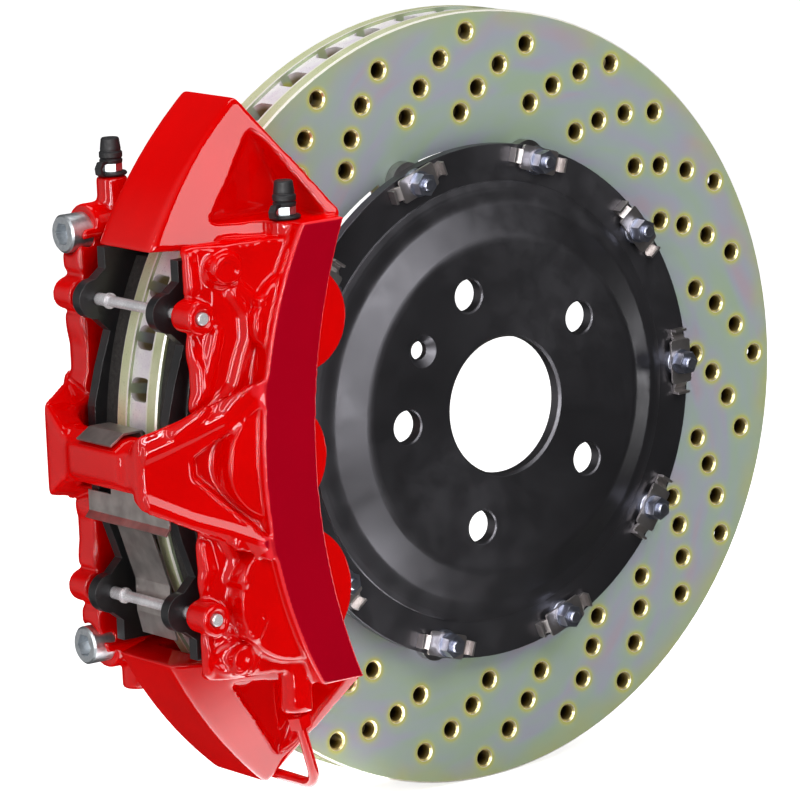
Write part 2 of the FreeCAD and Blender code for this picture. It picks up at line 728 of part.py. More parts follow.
def caliper_cavities(body):
    """The disc slot, the pad cavity and the two windows."""
    slot = new_sketch(body, "disc_slot", "XY_Plane")
    rectangle(slot, 90, -S.slot_half, S.slot_radius, S.slot_half)
    turn("Groove", body, slot)
    cavity = new_sketch(body, "pad_cavity", "XZ_Plane")
    rectangle(cavity, -S.bridge_in, -S.cavity_end, -90, S.cavity_end)
    extrude("Pocket", body, cavity, S.cavity_half * 2, symmetric=True)
    gusset = new_sketch(body, "bridge_gusset", "XY_Plane")
    reach = S.cavity_half - 5
    for side in (-1, 1):
        outline(gusset, [
            (-S.bridge_in - 1, side * reach), (-S.bridge_in - 1, side * (S.cavity_half + 1)),
            (-S.lip + 2, side * (S.cavity_half + 1)), (-S.lip + 2, side * (S.cavity_half - 1)),
        ])
    extrude("Pad", body, gusset, S.bridge_low * 3, symmetric=True)
    for name, side, edge in (("upper", 1, S.bridge_high), ("lower", -1, -S.bridge_low)):
        window = new_sketch(body, "window_" + name, "YZ_Plane", -S.roof_radius - 3)
        half = S.cavity_half
        points = [
            (-half, side * 25), (-26, edge), (30, edge),
            (half, side * 24), (half, side * S.cavity_end), (-half, side * S.cavity_end),
        ]
        outline(window, points)
        extrude("Pocket", body, window, 36, backwards=True)


def caliper_pockets(body):
    """Triangular pockets in the end bevels, and the recess between the bridge's ribs."""
    for name, side in (("upper", 1), ("lower", -1)):
        pocket = new_sketch(body, "end_pocket_" + name, "XZ_Plane", S.band_face + 3)
        top = S.end_top - 16
        low = S.bleed_out_z - 0.2
        outline(pocket, [
            (-S.end_side + 1, side * top), (-S.end_side - 26, side * low),
            (-S.end_side + 23, side * low), (-S.end_side + 7, side * (top - 6)),
        ])
        extrude("Pocket", body, pocket, S.band_face + 3 - S.slot_half - 6)


def caliper_bores(body):
    """Piston bores with their seal and boot grooves, and all the drilled holes."""
    for name, x, z, radius in bore_list():
        bore = new_sketch(body, "bore_" + name, "XZ_Plane")
        circle(bore, -x, z, radius + S.running_gap)
        extrude("Pocket", body, bore, (S.cavity_half + S.bore_depth) * 2, symmetric=True)
        grooves = new_sketch(body, "seal_grooves_" + name, "XY_Plane", z)
        axis = grooves.addGeometry(
            Part.LineSegment(Vec(-x.value, -70, 0), Vec(-x.value, 70, 0)), True)
        grooves.addConstraint(Sketcher.Constraint("Vertical", axis))
        pin_point(grooves, axis, 1, -x, -70)
        for side in (-1, 1):
            for start, width, depth in ((S.cavity_half - 1, 3, 3), (S.cavity_half + 6, 3, 3)):
                rectangle(grooves, -x, side * start, -x + radius + depth,
                          side * (start + width))
        turn("Groove", body, grooves, axis="Axis0")
    for name, side in (("upper", 1), ("lower", -1)):
        pins = new_sketch(body, "pin_hole_" + name, "XZ_Plane")
        circle(pins, -S.pin_x, side * S.pin_z, S.pin_radius + S.running_gap)
        extrude("Pocket", body, pins, S.pin_end * 2 + 4, symmetric=True)
        mount = new_sketch(body, "mount_hole_" + name, "YZ_Plane", -S.mount_head_x - 1)
        circle(mount, S.mount_y, side * S.mount_z, S.mount_radius + S.running_gap)
        extrude("Pocket", body, mount, S.mount_head_x - S.mount_seat + 30, backwards=True)
    port = new_sketch(body, "hose_port_hole", "XZ_Plane", -S.housing_face - 7)
    circle(port, -S.middle_bore_x, 36, 4.5)
    extrude("Pocket", body, port, 15, backwards=True)


# ---------------------------------------------------------------- pistons, seals and boots
def make_pistons():
    """Six hollow pistons, and the seals and dust boots that ride in the bores' grooves."""
    rest = S.ring_half + S.pad_gap + S.friction_thick + S.plate_thick + S.shim_thick
    seals = []
    boots = []
    for side_name, side in (("outboard", -1), ("inboard", 1)):
        for name, x, z, radius in bore_list():
            floor = rest + 21.5
            turned_part("piston_%s_%s" % (side_name, name), [
                (0, side * floor), (radius - 1, side * floor), (radius, side * (floor - 1)),
                (radius, side * (rest + 3)), (radius - 1, side * (rest + 2.4)),
                (radius - 1, side * rest), (radius - 5, side * rest),
                (radius - 5, side * (floor - 6)), (0, side * (floor - 6)),
            ], -x, z)
            low = S.cavity_half + 6.1
            seals.append((x, z, [
                (radius + 0.02, side * low), (radius + 0.02, side * (low + 2.8)),
                (radius + 2.9, side * (low + 2.8)), (radius + 2.9, side * low),
            ]))
            mouth = S.cavity_half
            boots.append((x, z, [
                (radius + 0.02, side * (mouth - 4.6)), (radius + 0.02, side * (mouth - 3.2)),
                (radius + 0.5, side * (mouth - 2.9)), (radius + 0.5, side * (mouth + 1.9)),
                (radius + 2.9, side * (mouth + 1.9)), (radius + 2.9, side * (mouth - 1)),
                (radius + 1.6, side * (mouth - 1.4)), (radius + 2.4, side * (mouth - 3)),
                (radius + 1.4, side * (mouth - 4.6)),
            ]))
    ring_group("piston_seals", seals)
    ring_group("dust_boots", boots)


def ring_group(label, rings):
    """One sub-part made of several separate rings, each revolved about its own bore."""
    solids = []
    for x, z, section in rings:
        corners = [Vec(size(r).value, size(y).value, 0) for r, y in section]
        face = Part.Face(Part.makePolygon(corners + corners[:1]))
        solid = face.revolve(Vec(), Vec(0, 1, 0), 360)
        solid.translate(Vec(-x.value, 0, z.value))
        solids.append(solid)
    item = doc.addObject("Part::Feature", label)
    item.Label = label
    item.Shape = Part.makeCompound(solids)
    item.Placement = FreeCAD.Placement(Vec(0, S.disc_plane.value, 0), FreeCAD.Rotation())
    bodies.append(item)


# ---------------------------------------------------------------- pads
def make_pads():
    """A backing plate, a friction block and a shim on each side."""
    for name, side in (("outboard", 1), ("inboard", -1)):
        near = S.ring_half + S.pad_gap
        back = near + S.friction_thick
        friction = new_body("pad_friction_" + name)
        block = new_sketch(friction, name + "_block", "XZ_Plane", side * near)
        pad_outline(block, 6, S.pad_outer)
        extrude("Pad", friction, block, S.friction_thick, backwards=side < 0)
        groove = new_sketch(friction, name + "_groove", "XZ_Plane", side * near)
        rectangle(groove, -S.pad_outer - 5, -1.5, -S.band_in + 10, 1.5)
        extrude("Pocket", friction, groove, S.friction_thick - 2, backwards=side > 0)

        plate = new_body("pad_plate_" + name)
        sheet_metal = new_sketch(plate, name + "_plate", "XZ_Plane", side * back)
        plate_outline(sheet_metal)
        extrude("Pad", plate, sheet_metal, S.plate_thick, backwards=side < 0)
        holes = new_sketch(plate, name + "_pin_holes", "XZ_Plane")
        for end in (-1, 1):
            circle(holes, -S.pin_x, end * S.pin_z, S.pin_radius + 0.3)
        extrude("Pocket", plate, holes, S.cavity_half * 2, symmetric=True)

        shim = new_body("pad_shim_" + name)
        cover = new_sketch(shim, name + "_shim", "XZ_Plane", side * (back + S.plate_thick))
        pad_outline(cover, 9, S.pad_outer - 3)
        extrude("Pad", shim, cover, S.shim_thick, backwards=side < 0)


def pad_outline(sketch, inset, outer):
    """The pad's shape: an outer arc about the wheel axle, straight ends and a flat lower edge."""
    half = S.pad_half - inset
    corner = outer.value ** 2 - half.value ** 2
    top = Size(math.sqrt(corner), "sqrt(%s ^ 2 - %s ^ 2)" % (outer.text, half.text))
    low = S.band_in + inset - 6
    outline(sketch, [
        (-top, half, outer), (-top, -half), (-low + 8, -half + 2), (-low, -half * 0.45),
        (-low, half * 0.45), (-low + 8, half - 2),
    ])


def plate_outline(sketch):
    """The backing plate: a long plate with a pin eye near each end and a raised middle."""
    end = S.pad_half
    shoulder = S.pin_x - 4
    eye = S.pin_radius + 6.4
    ear = S.pin_x + 2
    middle = S.pin_x + 6
    low = S.band_in - 4
    upper = [
        (-middle, 20), (-middle + 5, 38), (-shoulder + 1, 55), (-ear, S.pin_z - eye, -eye),
        (-ear, S.pin_z + eye), (-shoulder, end - 10), (-shoulder, end),
    ]
    lower = [
        (-shoulder, -end), (-shoulder, -end + 10), (-ear, -S.pin_z - eye, -eye),
        (-ear, -S.pin_z + eye), (-shoulder + 1, -55), (-middle + 5, -38), (-middle, -20),
    ]
    bottom = [(-low + 8, -end), (-low, -40), (-low, 40), (-low + 8, end)]
    outline(sketch, upper + list(reversed(bottom)) + lower)


# ---------------------------------------------------------------- pins and spring
def make_pins():
    """Two pad pins, slimmer across the outboard pad, with a thin stop collar on the inboard side."""
    end = S.pin_end + 1.5
    slim = S.pin_radius - 0.4
    collar = S.pin_radius + 0.8
    section = [
        (0, -end), (S.pin_radius - 0.5, -end), (S.pin_radius, -end + 0.5),
        (S.pin_radius, -S.cavity_half), (slim, -S.cavity_half + 0.4), (slim, 18), (collar, 18),
        (collar, 19.2), (S.pin_radius, 19.2), (S.pin_radius, end - 0.5),
        (S.pin_radius - 0.5, end), (0, end),
    ]
    pin = turned_part("pin", section)
    out = [Vec(-S.pin_x.value, 0, side * S.pin_z.value) for side in (1, -1)]
    group("pad_pins", pin, [FreeCAD.Placement(place, FreeCAD.Rotation()) for place in out])


def make_spring():
    """The pad spring: a bent strip hooked over the centre bridge, with a cross-bar on the pads."""
    spring = new_body("pad_spring")
    thick = S.spring_thick
    under = S.bridge_in - 1.3
    path = [
        (-S.bridge_out - 0.6, 9), (-S.bridge_out + 7, 13.6), (-under, 13.6), (-under, -22),
        (-under + 2, -33), (-S.pin_x + 3.3, -62), (-S.pin_x + 3.3, -78), (-S.pin_x + 6, -89),
    ]
    strip = new_sketch(spring, "spring_strip", "XZ_Plane")
    outline(strip, strip_outline(path, thick))
    extrude("Pad", spring, strip, 28, symmetric=True)
    bar = new_sketch(spring, "spring_bar", "XZ_Plane")
    outline(bar, strip_outline([(-under, -20), (-under, -30), (-under - 2.5, -33)], thick))
    extrude("Pad", spring, bar, 66, symmetric=True)


def strip_outline(path, thick):
    """The outline of a strip of even thickness, on the disc's side of a path of (x, z) points."""
    points = [(size(x).value, size(z).value) for x, z in path]
    offsets = []
    for place, (x, z) in enumerate(points):
        before = points[max(place - 1, 0)]
        after = points[min(place + 1, len(points) - 1)]
        normals = []
        for (x1, z1), (x2, z2) in ((before, (x, z)), ((x, z), after)):
            length = math.hypot(x2 - x1, z2 - z1)
            if length > 0:
                normals.append((-(z2 - z1) / length, (x2 - x1) / length))
        nx = sum(n[0] for n in normals) / len(normals)
        nz = sum(n[1] for n in normals) / len(normals)
        scale = thick / (nx * nx + nz * nz)
        offsets.append((path[place][0] + nx * scale, path[place][1] + nz * scale))
    return list(path) + list(reversed(offsets))


# ---------------------------------------------------------------- fluid fittings
def make_bleeders():
    """Two bleed screws, each with a rubber cap whose tether loops round the screw's neck."""
    spots = (
        ("outboard", S.bleed_out_x, -S.bleed_out_y, S.bleed_out_z, 200),
        ("inboard", S.bleed_in_x, S.bleed_in_y, S.bleed_in_z, 200),
    )
    for name, x, y, z, direction in spots:
        screw = new_body("bleed_screw_" + name)
        stem = new_sketch(screw, name + "_stem", "XY_Plane", 0)
        circle(stem, 0, 0, 3.4)
        extrude("Pad", screw, stem, 9)
        hexagon = new_sketch(screw, name + "_hexagon", "XY_Plane", 2.2)
        six_sided(hexagon, 0, 0, 4.6)
        extrude("Pad", screw, hexagon, 3.8)
        nipple = new_sketch(screw, name + "_nipple", "XZ_Plane", 0)
        outline(nipple, [(0, 8), (2.6, 8), (2.4, 11), (3, 13.2), (1.2, 16), (0, 16)])
        turn("Revolution", screw, nipple)
        cap = new_body("bleed_cap_" + name)
        shell = new_sketch(cap, name + "_cap", "XZ_Plane", 0)
        outline(shell, [
            (3.45, 6.1), (5.4, 6.1), (5.6, 7.6), (5, 8.2), (5.6, 9), (5.6, 11.2), (4.9, 12),
            (5, 12.8), (4.4, 17.6), (3.9, 18.2), (0, 18.2), (0, 16.3), (1.6, 16.3), (3.45, 13),
        ])
        turn("Revolution", cap, shell)
        tether = new_sketch(cap, name + "_tether", "XZ_Plane", 0)
        outline(tether, [
            (4.4, 7.6), (4.4, 6.2), (8, 5.8), (9.4, 4.4), (9, 2.6), (7, 2), (4.6, 2), (4.6, 0.4),
            (8, 0.4), (10.6, 1.6), (11.2, 4.6), (9, 7.4),
        ])
        extrude("Pad", cap, tether, 3.4, symmetric=True)
        collar = new_sketch(cap, name + "_collar", "XZ_Plane", 0)
        outline(collar, [(3.45, 0.3), (7, 0.3), (7.6, 1.1), (7, 2), (3.45, 2)])
        turn("Revolution", cap, collar)
        for body in (screw, cap):
            spin = FreeCAD.Rotation(Vec(0, 0, 1), direction)
            centre = Vec(-x.value, S.disc_plane.value + size(y).value, z.value)
            body.Placement = FreeCAD.Placement(centre, spin)
            body.setExpression("Placement.Base.x", (-x).text)
            body.setExpression("Placement.Base.y", (S.disc_plane + y).text)
            body.setExpression("Placement.Base.z", z.text)


def make_pipe():
    """The crossover pipe: a U below the disc's rim, swept along its centre line, and its nuts."""
    lean = S.pipe_lean
    low = -(S.pipe_low - S.pipe_out_z) / cosine(lean)
    inboard = -(S.pipe_in_z - S.pipe_out_z) / cosine(lean)
    bend = S.pipe_bend
    left, right = -S.pipe_out_y, S.pipe_in_y
    pipe = new_body("crossover_pipe")
    path = new_sketch(pipe, "pipe_path", "YZ_Plane")
    straight = [
        ((left, -0.8), (left, low + bend)), ((left + bend, low), (right - bend, low)),
        ((right, low + bend), (right, inboard - 0.8)),
    ]
    for start, end in straight:
        ends = [Vec(size(v[0]).value, size(v[1]).value, 0) for v in (start, end)]
        line = path.addGeometry(Part.LineSegment(*ends), False)
        pin_point(path, line, 1, *start)
        pin_point(path, line, 2, *end)
    corners = ((left + bend, 180), (right - bend, 270))
    for number, (across, first) in enumerate(corners):
        middle = Vec(across.value, (low + bend).value, 0)
        whole = Part.Circle(middle, Vec(0, 0, 1), bend.value)
        arc = Part.ArcOfCircle(whole, math.radians(first), math.radians(first + 90))
        line = path.addGeometry(arc, False)
        path.addConstraint(Sketcher.Constraint("Tangent", number, 2, line, 1))
        path.addConstraint(Sketcher.Constraint("Coincident", line, 2, number + 1, 1))
    ring = new_sketch(pipe, "pipe_ring", "XY_Plane", -0.8)
    circle(ring, 0, left, S.pipe_radius)
    sweep = pipe.newObject("PartDesign::AdditivePipe", "pipe_sweep")
    sweep.Profile = ring
    sweep.Spine = (path, [])
    pipe.Tip = sweep
    leaned = FreeCAD.Rotation(Vec(0, 1, 0), -lean.value)
    hinge = Vec(-S.pipe_x.value, 0, -S.pipe_out_z.value)
    pipe.Placement = FreeCAD.Placement(hinge + Vec(0, S.disc_plane.value, 0), leaned)

    nut = new_body("pipe_nut")
    hexagon = new_sketch(nut, "pipe_nut_hexagon", "XY_Plane", 0)
    six_sided(hexagon, 0, 0, 5)
    extrude("Pad", nut, hexagon, 6, backwards=True)
    hole = new_sketch(nut, "pipe_nut_hole", "XY_Plane", 1)
    circle(hole, 0, 0, S.pipe_radius + S.running_gap)
    extrude("Pocket", nut, hole, 10)
    places = []
    for across, along in ((left, size(0)), (right, inboard)):
        centre = hinge + Vec(0, across.value, 0) + leaned.multVec(Vec(0, 0, along.value - 1.7))
        places.append(FreeCAD.Placement(centre, leaned))
    group("pipe_nuts", nut, places)


# ---------------------------------------------------------------- mounting bolts
def make_mounting_bolts():
    """Two socket-head bolts through the inboard ears, reaching towards the hub carrier."""
    head = 12
    reach = S.mount_head_x - S.mount_reach
    thread = S.mount_head_x - S.mount_seat + 1
    waist = S.mount_radius - 0.7
    bolt = new_body("mounting_bolt")
    section = new_sketch(bolt, "mount_section", "XY_Plane")
    outline(section, [
        (0, -head), (S.mount_head - 1, -head), (S.mount_head, -head + 1), (S.mount_head, 0),
        (waist, 0), (waist, thread - 1), (S.mount_radius, thread), (S.mount_radius, reach - 1),
        (S.mount_radius - 1, reach), (0, reach),
    ])
    turn("Revolution", bolt, section)
    socket = new_sketch(bolt, "mount_socket", "XZ_Plane", head)
    six_sided(socket, 0, 0, 5)
    extrude("Pocket", bolt, socket, 6)
    inwards = FreeCAD.Rotation(Vec(0, 0, 1), -90)
    places = []
    for side in (1, -1):
        spot = Vec(-S.mount_head_x.value, S.mount_y.value, side * S.mount_z.value)
        places.append(FreeCAD.Placement(spot, inwards))
    group("mounting_bolts", bolt, places)


# ---------------------------------------------------------------- build, check and write
make_hat()
make_drive_points()
make_pistons()
make_pads()
make_pins()
make_spring()
make_bleeders()
make_pipe()
make_mounting_bolts()
make_caliper_body()
make_disc_ring()
doc.recompute()

faults = []
for item in doc.Objects:
    if "Invalid" in item.State or "Error" in item.State:
        faults.append("%s: %s" % (item.Name, item.State))
for item in bodies:
    if item.Shape.isNull() or not item.Shape.isValid():
        faults.append("%s has no valid shape" % item.Label)
if faults:
    raise RuntimeError("; ".join(faults))

os.makedirs("parts", exist_ok=True)
for item in bodies:
    item.Shape.exportStep("parts/%s.step" % item.Label)
    print(item.Label, len(item.Shape.Solids), round(item.Shape.Volume))
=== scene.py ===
import math

import bpy
import numpy as np
from mathutils import Matrix, Vector


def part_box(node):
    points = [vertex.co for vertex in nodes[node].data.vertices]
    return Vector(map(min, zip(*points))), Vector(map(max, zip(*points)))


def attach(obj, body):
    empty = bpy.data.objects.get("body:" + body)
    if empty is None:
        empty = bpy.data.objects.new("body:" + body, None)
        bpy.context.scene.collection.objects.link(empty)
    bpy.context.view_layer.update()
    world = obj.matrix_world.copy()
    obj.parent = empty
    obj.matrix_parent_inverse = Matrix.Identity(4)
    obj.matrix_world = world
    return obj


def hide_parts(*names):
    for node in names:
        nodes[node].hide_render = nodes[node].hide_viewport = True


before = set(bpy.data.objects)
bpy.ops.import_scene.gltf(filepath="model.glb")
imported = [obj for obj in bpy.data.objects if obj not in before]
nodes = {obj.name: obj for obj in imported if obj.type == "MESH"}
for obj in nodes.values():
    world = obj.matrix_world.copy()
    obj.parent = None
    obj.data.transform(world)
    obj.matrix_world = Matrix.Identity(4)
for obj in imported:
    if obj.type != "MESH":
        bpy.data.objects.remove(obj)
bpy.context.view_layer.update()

MM = 0.001  # metres in a millimetre
RING_LOW, RING_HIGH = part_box("disc_ring")
RING_MIDDLE = (RING_LOW.y + RING_HIGH.y) / 2
FLOOR = RING_LOW.z

# Places on the object in millimetres, for its materials and its cast relief.
RING_Y = RING_MIDDLE / MM
BAND_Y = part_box("caliper_body")[0].y / MM  # the casting's flat outboard band
RIM_RADIUS = RING_HIGH.z / MM
RIM_CORNER = (RING_HIGH.y - RING_LOW.y) / 2 / MM - 1.3  # from the ring's middle to its corners
CHANNEL_HALF = 7.7  # half width of the channel round the rim
CHANNEL_FLOOR = RIM_RADIUS - 2.2  # radius where the vents open out of the channel's floor
HOLE_RADIUS = 4.8  # of a drilled hole at its countersink
PIN_X, PIN_Z = -188, 71
UPPER_BOSS = (-173, 91)
LOWER_BOSS = (-178, -91)


# ------------------------------------------------------------------ node materials
def tint(code):
    """An RGBA colour from a six-digit sRGB code."""
    levels = [int(code[start:start + 2], 16) / 255 for start in (0, 2, 4)]
    linear = [level / 12.92 if level < 0.04045 else ((level + 0.055) / 1.055) ** 2.4 for level in levels]
    return (*linear, 1.0)


class Finish:
    """A node material. Its methods add nodes and return the output of the last one."""

    def __init__(self, name, **levels):
        self.material = bpy.data.materials.new(name)
        self.material.use_nodes = True
        self.tree = self.material.node_tree
        self.shader = self.tree.nodes["Principled BSDF"]
        self.place = self.mm()
        for label, value in levels.items():
            self.set(label, value)

    def set(self, label, value):
        words = {"ior": "IOR", "coat_ior": "Coat IOR", "specular": "Specular IOR Level"}
        self.put(self.shader.inputs[words.get(label, label.replace("_", " ").title())], value)

    def put(self, socket, value):
        if isinstance(value, bpy.types.NodeSocket):
            self.tree.links.new(value, socket)
        else:
            socket.default_value = value

    def add(self, kind, inputs, **settings):
        node = self.tree.nodes.new("ShaderNode" + kind)
        for key, value in settings.items():
            setattr(node, key, value)
        for key, value in inputs.items():
            self.put(node.inputs[key], value)
        return node

    def mm(self):
        """The place on the piece in millimetres, which moves along with the piece."""
        place = self.add("TexCoord", {}).outputs["Object"]
        return self.add("VectorMath", {0: place, "Scale": 1 / MM}, operation="SCALE").outputs[0]

    def split(self, vector):
        return self.add("SeparateXYZ", {0: vector}).outputs

    def join(self, x, y, z):
        return self.add("CombineXYZ", {0: x, 1: y, 2: z}).outputs[0]

    def math(self, operation, *values):
        inputs = dict(enumerate(values))
        return self.add("Math", inputs, operation=operation).outputs[0]

    def length(self, x, y):
        """The length of a line that goes x one way and y across it."""
        squares = self.math("MULTIPLY_ADD", x, x, self.math("MULTIPLY", y, y))
        return self.math("SQRT", squares)

    def fade(self, value, low, high, start=0.0, end=1.0):
        """The value mapped smoothly from low..high to start..end."""
        inputs = {"Value": value, "From Min": low, "From Max": high, "To Min": start, "To Max": end}
        return self.add("MapRange", inputs, interpolation_type="SMOOTHSTEP").outputs[0]

    def noise(self, grain, detail=2.0, rough=0.5, vector=None, warp=0.0):
        """Soft noise whose blotches are about grain millimetres across."""
        inputs = {"Vector": vector or self.place, "Scale": 1 / grain, "Detail": detail}
        inputs.update({"Roughness": rough, "Distortion": warp})
        return self.add("TexNoise", inputs).outputs["Fac"]

    def cells(self, grain, output="Distance"):
        """Cells about grain millimetres apart, as the distance to a middle or as a random colour."""
        return self.add("TexVoronoi", {"Vector": self.place, "Scale": 1 / grain}).outputs[output]

    def ramp(self, value, *stops):
        """A colour ramp from (place, colour code) stops."""
        node = self.add("ValToRGB", {"Fac": value})
        band = node.color_ramp
        while len(band.elements) < len(stops):
            band.elements.new(0.5)
        for element, (spot, code) in zip(band.elements, stops):
            element.position = spot
            element.color = tint(code)
        return node.outputs["Color"]

    def blend(self, share, under, over):
        """The colour under, covered by the colour over to the given share."""
        return self.add("Mix", {0: share, 6: under, 7: over}, data_type="RGBA").outputs[2]

    def bump(self, height, depth, under=None):
        """Relief of the given depth in millimetres, added to any relief under it."""
        inputs = {"Height": height, "Distance": depth * MM, "Strength": 1.0}
        if under is not None:
            inputs["Normal"] = under
        return self.add("Bump", inputs).outputs[0]

    def soft_edges(self, radius):
        """Edges that catch the light as if rounded by the given radius in millimetres."""
        return self.add("Bevel", {"Radius": radius * MM}, samples=4).outputs[0]

    def edge_glint_mask(self, radius):
        """A mask that is 1 on edges and 0 on flats, from how far a rounded normal leans; used to paint
        highlights along edges.
        """
        plain = self.add("NewGeometry", {}).outputs["True Normal"]
        lean = self.add("VectorMath", {0: plain, 1: self.soft_edges(radius)}, operation="DOT_PRODUCT")
        return self.fade(lean.outputs["Value"], 0.995, 0.9)


def polar(finish):
    """Radius, angle in degrees from +X towards +Z, and place along the disc's axis."""
    x, y, z = finish.split(finish.place)
    angle = finish.math("DEGREES", finish.math("ARCTAN2", z, x))
    return finish.length(x, z), angle, y


def facing(finish, axis):
    """How squarely the surface faces along an axis (0, 1 or 2), either way."""
    normal = finish.add("TexCoord", {}).outputs["Normal"]
    return finish.math("ABSOLUTE", finish.split(normal)[axis])


def casting_paint():
    """Thick gloss red over a casting, with a darker flat band along the outboard face and a painted pink
    highlight along the band's edge.
    """
    f = Finish("caliper_paint", coat_weight=1.0, coat_roughness=0.02, coat_ior=1.45, specular=0.0)
    wash = f.ramp(f.noise(38, 3), (0.25, "DC0000"), (0.75, "EC0000"))
    y = f.split(f.place)[1]
    band = f.math("MULTIPLY", f.fade(y, BAND_Y + 0.9, BAND_Y + 0.5), f.fade(facing(f, 1), 0.90, 0.985))
    band_red = f.ramp(f.noise(60, 2), (0.2, "A8001A"), (0.8, "B3001D"))
    # Painted highlight: pink along the rounded edge of the outboard band.
    band_edge_highlight = f.fade(y, BAND_Y + 2.2, BAND_Y + 1.2)
    wash = f.blend(f.math("MULTIPLY", band_edge_highlight, 0.7), wash, tint("FF3A44"))
    f.set("base_color", f.blend(band, wash, band_red))
    f.set("roughness", f.fade(f.noise(9, 3), 0.3, 0.7, 0.28, 0.40))
    peel = f.bump(f.noise(5.0, 2), 0.02)
    f.set("normal", f.bump(f.noise(1.1, 4, 0.6), 0.012, peel))
    f.set("coat_normal", peel)
    f.set("coat_weight", f.math("MULTIPLY", f.fade(band, 0.0, 1.0, 1.0, 0.45), glance_guard(f)))
    return f.material


def glance_guard(f):
    """1 where the surface faces the viewer, less where it is seen nearly edge on."""
    glance = f.add("LayerWeight", {"Blend": 0.5}).outputs["Facing"]
    first, last, least = 0.65, 0.85, 0.25
    return f.fade(glance, first, last, 1.0, least)


def ring_plating():
    """Zinc passivate on the friction ring: clouded on its faces, bright where it was cut, with painted
    highlights and a painted reflection on the rim and painted shade deep in the drilled holes.
    """
    f = Finish("disc_steel", specular=0.5)
    radius, angle, y = polar(f)
    hole = hole_distance(f, radius, angle)
    depth = f.math("ABSOLUTE", f.math("SUBTRACT", y, RING_Y))
    in_hole = f.fade(hole, HOLE_RADIUS + 0.1, HOLE_RADIUS - 0.6)
    cut = f.blend(in_hole, rim_colour_with_painted_glints(f, radius, depth), bore_colour_with_painted_shade(f, depth))
    flat = f.fade(facing(f, 1), 0.93, 0.99)
    f.set("base_color", f.blend(flat, cut, plate_colour(f, radius, angle, hole)))
    f.set("metallic", f.fade(flat, 0, 1, f.fade(in_hole, 0, 1, 0.2, 0.6), 0.12))
    grain = f.noise(0.7, 2, 0.5)
    f.set("roughness", f.math("ADD", f.fade(flat, 0, 1, 0.24, 0.40), f.math("MULTIPLY", grain, 0.1)))
    turning = f.noise(0.5, 2, 0.5, f.join(radius, y, 0.0))
    f.set("normal", f.bump(turning, 0.003, f.bump(grain, 0.001, f.soft_edges(0.3))))
    return f.material


def plate_colour(f, radius, angle, hole):
    """Green, grey and violet clouds swept round the disc, olive at the rim and gold at each hole."""
    swept = f.math("RADIANS", f.math("MULTIPLY_ADD", radius, 0.55, angle))
    reach = 150.0
    circle = f.join(f.math("MULTIPLY", f.math("COSINE", swept), reach),
                    f.math("MULTIPLY", f.math("SINE", swept), reach), f.math("MULTIPLY", radius, 1.6))
    clouds = f.noise(34, 2, 0.45, circle, 0.4)
    plate = f.ramp(clouds, (0.30, "A8BDA4"), (0.46, "A9B9B4"), (0.58, "ADB1BE"), (0.72, "B8A9B6"))
    ragged = f.math("ADD", radius, f.math("MULTIPLY", f.noise(30, 2), 22.0))
    olive = f.ramp(f.noise(20, 2), (0.35, "B9C084"), (0.65, "AEBF9C"))
    plate = f.blend(f.fade(ragged, RIM_RADIUS - 3, RIM_RADIUS + 14), plate, olive)
    halo = f.fade(hole, HOLE_RADIUS + 5.7, HOLE_RADIUS - 0.2)
    plate = f.blend(f.math("MULTIPLY", halo, 0.55), plate, tint("B4C49A"))
    gold = f.fade(hole, HOLE_RADIUS + 2.6, HOLE_RADIUS - 0.1)
    return f.blend(f.math("MULTIPLY", gold, 0.9), plate, tint("CDCB5E"))


def rim_colour_with_painted_glints(f, radius, depth):
    """Pale green cheeks with painted white highlights on their corners, on each side of a channel whose
    lilac floor is painted near white as a reflection.
    """
    cheek = f.ramp(f.noise(14, 3), (0.3, "D2D8A8"), (0.7, "E4E6C2"))
    # Painted highlight: near white on the cheeks' corners and on the channel's edges.
    corner = tint("FFFDF0")
    cheek = f.blend(f.fade(depth, RIM_CORNER, RIM_CORNER + 0.5), cheek, corner)
    cheek = f.blend(f.fade(depth, CHANNEL_HALF + 1.5, CHANNEL_HALF + 0.7), cheek, corner)
    # Painted reflection: the channel's lilac tint is lifted to near white.
    channel = f.ramp(f.noise(6, 2), (0.3, "F1E8F3"), (0.7, "FFFCFE"))
    channel = f.blend(f.fade(radius, CHANNEL_FLOOR, CHANNEL_FLOOR - 3.8), channel, tint("A0906C"))
    return f.blend(f.fade(depth, CHANNEL_HALF + 0.2, CHANNEL_HALF - 0.2), cheek, channel)


def bore_colour_with_painted_shade(f, depth):
    """The wall of a drilled hole, gold at its mouth and brown deep inside, where the darkening is painted
    shade.
    """
    way_out = f.fade(depth, CHANNEL_HALF + 0.3, RIM_CORNER + 0.7)
    # Painted shade: the wall darkens towards the ring's middle, deep inside the hole.
    return f.ramp(way_out, (0.0, "3A2C10"), (0.55, "8E7535"), (1.0, "E0CF8E"))


def hole_distance(f, radius, angle):
    """Distance in millimetres to the middle of the nearest drilled hole.

    The holes lie on curved rows of eight. Each hole is one step further in than the last, and
    odd and even holes belong to rows half a repeat apart."""
    count, step, outermost = 8, 5.55, 180.2
    first, lean, curl, half_repeat = -0.95, 0.509, 0.002, 15.0  # degrees
    nearest = None
    for number in range(count):
        inward = step * number
        spot = first + half_repeat * (number % 2) + inward * lean - inward * inward * curl
        out = outermost - inward
        turn = f.math("WRAP", f.math("SUBTRACT", angle, spot), half_repeat, -half_repeat)
        gap = f.length(f.math("MULTIPLY", f.math("RADIANS", turn), out), f.math("SUBTRACT", radius, out))
        nearest = gap if nearest is None else f.math("MINIMUM", nearest, gap)
    return nearest


